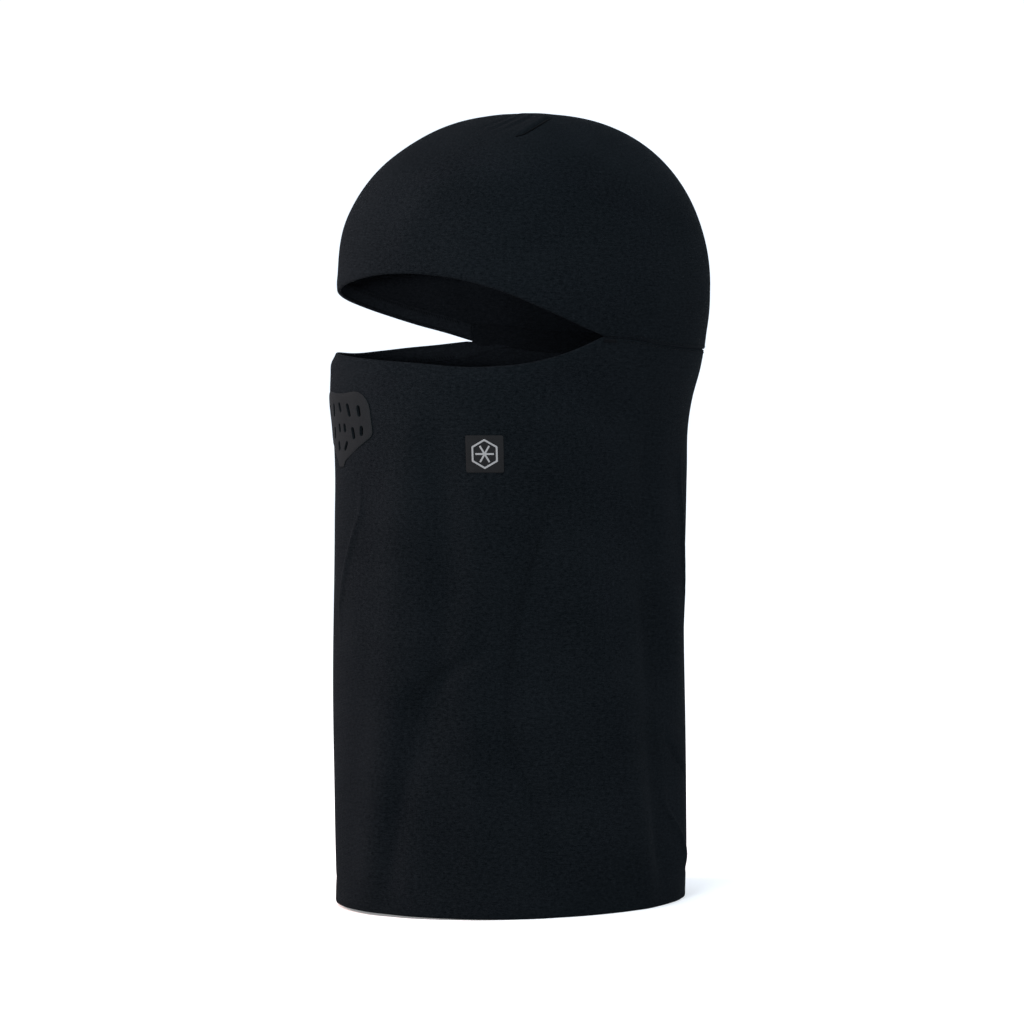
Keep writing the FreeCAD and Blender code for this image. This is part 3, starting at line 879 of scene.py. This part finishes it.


# Each material's name, darkest and lightest colour. The knit of the inner sides, the turned-in hems and
# the seam allowance is drawn lighter than the outside: painted light for the light that reaches inside
# the cloth.
knit = knit_material("black_knit", (0.0010, 0.0017, 0.0023), (0.0068, 0.0088, 0.0105), sheen=0.006)
lining = knit_material("black_knit_reverse_painted_light", (0.0060, 0.0074, 0.0097), (0.0185, 0.0214, 0.0260))
inner_knit = knit_material("black_knit_hem_painted_light", (0.0085, 0.0104, 0.0134), (0.0250, 0.0290, 0.0350))
neck_lining = knit_material("black_knit_inside_painted_light", (0.0078, 0.0096, 0.0124), (0.0235, 0.0272, 0.0328))
seam_knit = knit_material("black_knit_seam_painted_light", (0.0054, 0.0066, 0.0085), (0.0162, 0.0188, 0.0226))
thread = thread_material("black_thread", (0.0014, 0.0018, 0.0024), (0.0062, 0.0072, 0.0086))
FILMS = {  # darkest and lightest colour, grain, roughness, depth of the relief
    "grey_film": ((0.0052, 0.0066, 0.0074), (0.0078, 0.0096, 0.0106), 900.0, 0.68, 0.04),
    "dark_badge": ((0.0080, 0.0084, 0.0088), (0.0108, 0.0112, 0.0116), 700.0, 0.62, 0.03),
    "grey_print": ((0.165, 0.17, 0.17), (0.215, 0.22, 0.22), 1400.0, 0.45, 0.01),
}
film, badge, print_grey = (film_material(name, *look) for name, look in FILMS.items())
tape = tape_material("black_tape", (0.010, 0.010, 0.012), (0.040, 0.041, 0.046))


def bend_with_crown(piece):
    """Bakes the piece's transform into its mesh and finds how far each point lies from the back seam.
    """
    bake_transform(piece)
    turns = np.linspace(CORNER_TURN, 2 * math.pi - CORNER_TURN, 240)
    seam = neck_form(turns, neck_top(turns))
    points = np.zeros(len(piece.data.vertices) * 3)
    piece.data.vertices.foreach_get("co", points)
    points = points.reshape(-1, 3) / MM
    nearest = np.full(len(points), 1e9)
    for spot in seam:
        nearest = np.minimum(nearest, np.linalg.norm(points - spot, axis=1))


def ride_neck(piece):
    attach(piece, "neck")


HEM_END = CORNER_TURN - 0.08  # where the stitches of the opening's hems end
SEAM_START, SEAM_END = CORNER_TURN + 0.13, 2 * math.pi - CORNER_TURN - 0.13


def hem_threads(name, place, line, start, end, pitch):
    """Row of slanting stitches on the inner side of a turned-in edge."""

    def under(turn, along, lift=0.0):
        return place(turn, along, -lift - CLOTH - PLY_GAP - PLY)

    return threads(name, stitch_row(under, line, start, end, pitch, lean=2.0), 0.16, thread)


def seam_threads(name, place, line):
    """One of the two rows of stitches along the back seam."""
    row = stitch_row(place, line, SEAM_START, SEAM_END, 2.7, share=0.78, lean=0.3, lift=0.26)
    return threads(name, row, 0.2, thread)


# ---- the neck tube and what is on it
neck = neck_cloth(knit, neck_lining)
cut_slots(neck)
ride_neck(neck)
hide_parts("neck_tube")

# The hem runs on past the corners of the opening and narrows there
mask_turns = np.linspace(-CORNER_TURN - 0.24, CORNER_TURN + 0.24, 340)
mask_depth = 1.4 + (HEM_DEPTH - 1.4) * ease((CORNER_TURN + 0.25 - np.abs(mask_turns)) / 0.3)
mask_top = neck_top(mask_turns)
mask_hem = band(
    "mask_hem", neck_place, mask_turns, mask_top - mask_depth, mask_top - 1.2, inner_knit
)
ride_neck(mask_hem)
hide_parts("mask_edge_facing")


def mask_row(turn):
    return neck_top(turn) - HEM_DEPTH + 1.3


mask_threads = hem_threads("mask_hem_stitches", neck_place, mask_row, -HEM_END, HEM_END, 1.7)
ride_neck(mask_threads)
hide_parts("mask_edge_stitching")

all_turns = np.linspace(0, 2 * math.pi, 360, endpoint=False)
bottom_low, bottom_high = 0 * all_turns + 3.2, 0 * all_turns + NECK_HEM_DEPTH
bottom_hem = band(
    "bottom_hem", neck_place, all_turns, bottom_low, bottom_high, inner_knit, closed=True
)
ride_neck(bottom_hem)
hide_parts("neck_hem_facing")


def bottom_row(turn):
    return NECK_HEM_DEPTH - 1.2 + 0 * turn


bottom_threads = hem_threads("bottom_hem_stitches", neck_place, bottom_row, 0.0, 2 * math.pi, 2.2)
ride_neck(bottom_threads)

lower_threads = seam_threads("seam_stitches_lower", neck_place, lambda turn: neck_top(turn) - 1.45)
ride_neck(lower_threads)
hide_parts("back_seam_lower_stitching")


def bartack(side):
    """Close upright stitches over the corner of the opening, between two laid threads."""
    strands = []
    marks = np.linspace(CORNER_TURN + 0.012, CORNER_TURN + 0.085, 17)
    t = np.linspace(0, 1, 6)
    for mark in marks:
        height = neck_top(mark) - 2.5 + 1.9 * t
        strands.append(neck_place(side * (mark + 0.002 * t), height, 0.3 * np.sin(math.pi * t)))
    turns = np.linspace(marks[0], marks[-1], 12)
    return strands + [neck_place(side * turns, neck_top(turns) - down, 0.12) for down in (2.1, 1.1)]


for side, word in ((1, "left"), (-1, "right")):
    bar = threads(f"bartack_{word}", bartack(side), 0.21, thread)
    ride_neck(bar)
    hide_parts(f"corner_bartack_{word}")


TAB_LENGTH = 22.0
TAB_HALF_TURN = 6.5 / 77.0  # half its width, over the radius of the nape


def hanging_tab(material):
    """Folded tape sewn into the seam at the nape, hanging just clear of the cloth."""
    turns = np.linspace(math.pi - TAB_HALF_TURN, math.pi + TAB_HALF_TURN, 25)
    top = neck_top(turns) - 0.6
    down = np.linspace(0, 1, 14)
    section = [(TAB_LENGTH * t, 1.2 + 1.6 * t * t) for t in down]
    section += [(TAB_LENGTH + 0.5 * math.sin(a), 3.3 - 0.5 * math.cos(a)) for a in arc_points(3)]
    section += [(TAB_LENGTH * t, 1.9 + 1.9 * t * t) for t in down[::-1]]
    points = np.array([neck_place(turns, top - down, -depth) for down, depth in section])
    faces = ring_faces(len(section), len(turns), around=False, closed=True).tolist()
    faces.append([k * len(turns) for k in reversed(range(len(section)))])
    faces.append([k * len(turns) + len(turns) - 1 for k in range(len(section))])
    return add_mesh("nape_tab", points.reshape(-1, 3), faces, material)


tab = hanging_tab(tape)
ride_neck(tab)
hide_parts("size_tab")

patch = pressed_shape("mouth_patch", patch_loops(), front_to_cloth, 0.02, 0.5, 1.6, film)
ride_neck(patch)
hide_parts("vent_patch")

# ---- the label
LABEL_TURN = math.radians(60.3)
LABEL_Z = CORNER_Z - 59.2
LABEL_HALF = 9.6
LABEL_HALF_HEIGHT = 9.4
LABEL_CORNER = 0.9
EMBLEM_RADIUS = 7.6
EMBLEM_LINE = 0.9
CHEEK_HALF_WIDTH, CHEEK_HALF_LENGTH = 75.0, 97.5  # of the tube, level with the label


def cheek_to_cloth(flat, lift):
    """Points on the label, to the back and upward from its middle, carried onto the left cheek."""
    across, along = CHEEK_HALF_WIDTH * math.cos(LABEL_TURN), CHEEK_HALF_LENGTH * math.sin(LABEL_TURN)
    turn = LABEL_TURN + flat[:, 0] / math.hypot(across, along)
    return neck_place(turn, LABEL_Z + flat[:, 1], lift)


def star_outline(reach, width):
    """Six arms of one width, meeting in the middle."""
    half = width / 2
    inner = half / math.sin(math.radians(30))
    out = []
    for turn in range(0, 360, 60):
        along, aside = ray(math.radians(turn)), ray(math.radians(turn + 90))
        out += [along * reach - aside * half, along * reach + aside * half]
        out.append(inner * ray(math.radians(turn + 30)))
    return np.array(out)


def hexagon(radius):
    return rounded_polygon([(*(radius * ray(math.radians(a))), 0.5) for a in range(30, 390, 60)])


square = [(a * LABEL_HALF, b * LABEL_HALF_HEIGHT, LABEL_CORNER) for a, b in SQUARE]
label = pressed_shape("cheek_label", [rounded_polygon(square)], cheek_to_cloth, 0.02, 0.45, 1.4, badge)
ride_neck(label)
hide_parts("label_base")

emblem = [
    hexagon(EMBLEM_RADIUS),
    hexagon(EMBLEM_RADIUS - EMBLEM_LINE / math.cos(math.pi / 6)),
    star_outline(EMBLEM_RADIUS * 0.62, EMBLEM_LINE),
]
mark = pressed_shape("label_mark", emblem, cheek_to_cloth, 0.45, 0.6, 0.7, print_grey)
ride_neck(mark)
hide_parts("label_emblem")

# ---- the crown and what is on it
crown = crown_cloth(knit, lining)
bend_with_crown(crown)
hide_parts("crown_shell")

front_turns = np.linspace(-CORNER_TURN, CORNER_TURN, 300)
brow = crown_edge(front_turns)
brow_hem = band("brow_hem", crown_place, front_turns, brow + 1.4, brow + HEM_DEPTH, inner_knit)
bend_with_crown(brow_hem)
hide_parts("brow_edge_facing")


def brow_row(turn):
    return crown_edge(turn) + HEM_DEPTH - 1.3


brow_threads = hem_threads("brow_hem_stitches", crown_place, brow_row, -HEM_END, HEM_END, 1.7)
bend_with_crown(brow_threads)
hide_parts("brow_edge_stitching")

back_turns = np.linspace(CORNER_TURN, 2 * math.pi - CORNER_TURN, 320)
seam = crown_edge(back_turns)
allowance = band(
    "seam_allowance", crown_place, back_turns, seam - 2.2, seam + HEM_DEPTH, seam_knit
)
bend_with_crown(allowance)
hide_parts("back_seam_allowance")

upper_threads = seam_threads(
    "seam_stitches_upper", crown_place, lambda turn: crown_edge(turn) + 1.15
)
bend_with_crown(upper_threads)
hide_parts("back_seam_upper_stitching")


def along_dart(side, lift):
    """The curved line of one dart, carried onto the crown."""
    t = np.linspace(-0.02, 1.02, 34)
    aside = -dart_bend(t)
    across = t * DART_LENGTH * DART_AIM[0] + aside * DART_AIM[1]
    along = t * DART_LENGTH * DART_AIM[1] - aside * DART_AIM[0]
    x, y = side * (DART_START[0] + across), DART_START[1] + along
    turn = np.arctan2(x / CROWN_HALF_WIDTH, -y / CROWN_HALF_LENGTH)
    girth = np.hypot(x / CROWN_HALF_WIDTH, y / CROWN_HALF_LENGTH)
    arc = np.interp(-girth, -CROWN_GIRTH[60:], CROWN_ARC[60:])
    return crown_place(turn, arc, lift)


# Seam allowance of the two darts, as a rib inside the crown
ribs = [along_dart(side, -CLOTH - 1.0) for side in (1, -1)]
darts = threads("dart_allowance", ribs, 0.95, inner_knit, sides=10)
bend_with_crown(darts)
# The closed edge of each dart, where its two lips of cloth meet, drawn as a strand of very dark yarn:
# painted shade in the crease
lips = [along_dart(side, 0.22) for side in (1, -1)]
crease_painted_shade = thread_material("crease_painted_shade", (0.0006, 0.0008, 0.0011), (0.0018, 0.0022, 0.0028))
creases = threads("dart_crease", lips, 0.42, crease_painted_shade)
bend_with_crown(creases)
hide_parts("crown_dart_seams")
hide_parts("crown_dart_seams")

neck_pieces = [mask_hem, mask_threads, bottom_hem, bottom_threads, lower_threads]
neck_pieces += [tab, patch, label, mark]

# ---- stage, light and camera
def floor_material():
    """White paper sweep, lit from below like a light table so that it stays white all over."""
    material, tree = blank("pale_floor")
    grain = stretched_noise(tree, object_place(tree), (1, 1, 1), 40.0)
    colour = ramp(tree, grain, (0.3, (0.78, 0.78, 0.78)), (0.7, (0.80, 0.80, 0.80)))
    glow = [("Emission Color", (1.0, 1.0, 1.0, 1.0)), ("Emission Strength", 0.25)]
    return finish_material(material, surface(tree, colour, 0.9, 0.5, *glow), grain, 0.02)


FLOOR_HALF = 20000
floor_corners = [(a * FLOOR_HALF, b * FLOOR_HALF, 0) for a, b in SQUARE]
floor = add_mesh("floor", floor_corners, [(0, 1, 2, 3)], floor_material())

world = bpy.data.worlds.new("studio")
world.use_nodes = True
sky = world.node_tree.nodes["Background"].inputs
sky["Color"].default_value = (0.84, 0.91, 1.0, 1.0)
sky["Strength"].default_value = 1.2
bpy.context.scene.world = world


def hang(name, kind, place, target, power, colour, **settings):
    """A lamp, turned towards its target. The camera doesn't see it."""
    data = bpy.data.lights.new(name, kind)
    data.energy = power
    data.color = colour
    for setting, value in settings.items():
        setattr(data, setting, value)
    lamp = bpy.data.objects.new(name, data)
    lamp.location = place
    x, y, z = np.array(target) - np.array(place)
    tip = math.pi / 2 + math.atan2(z, math.hypot(x, y))
    lamp.rotation_euler = (tip, 0, math.atan2(y, x) - math.pi / 2)
    lamp.visible_camera = False
    bpy.context.scene.collection.objects.link(lamp)


hang("key", "AREA", (-0.40, -0.86, 0.60), (0, 0, 0.32), 15.4, (1.0, 0.65, 0.59), size=0.35)
hang("fill", "AREA", (0.44, -0.60, 1.21), (0, 0, 0.30), 10.5, (0.94, 0.97, 1.0), size=0.5)
hang("rim", "AREA", (0.30, 0.62, 0.72), (0, 0, 0.34), 0.6, (0.80, 0.95, 1.0), size=0.25)
INSIDE = (-0.045, -0.065, 0.306)  # a place in the crown, seen through the face opening
beam = {"spot_size": math.radians(5.0), "spot_blend": 1.0, "shadow_soft_size": 0.08}
hang("into_the_opening", "SPOT", (1.50, -1.15, 0.27), INSIDE, 105.0, (0.96, 0.98, 1.0), **beam)

AZIMUTH = math.radians(63.0)
DISTANCE = 1.85
EYE_HEIGHT = 0.2653
ASIDE_X, ASIDE_Y = 0.0005, -0.0043  # where the camera's line passes the middle of the object
LOOKS_DOWN = math.radians(1.871)
SENSOR, LENS = 36.0, 123.2
camera = bpy.data.objects.new("camera", bpy.data.cameras.new("camera"))
camera.data.sensor_width = SENSOR
camera.data.lens = LENS
camera.location = (
    DISTANCE * math.sin(AZIMUTH) + ASIDE_X,
    -DISTANCE * math.cos(AZIMUTH) + ASIDE_Y,
    EYE_HEIGHT,
)
camera.rotation_euler = (math.pi / 2 - LOOKS_DOWN, 0, AZIMUTH)
bpy.context.scene.collection.objects.link(camera)
bpy.context.scene.camera = camera
bpy.context.scene.view_settings.view_transform = "Standard"
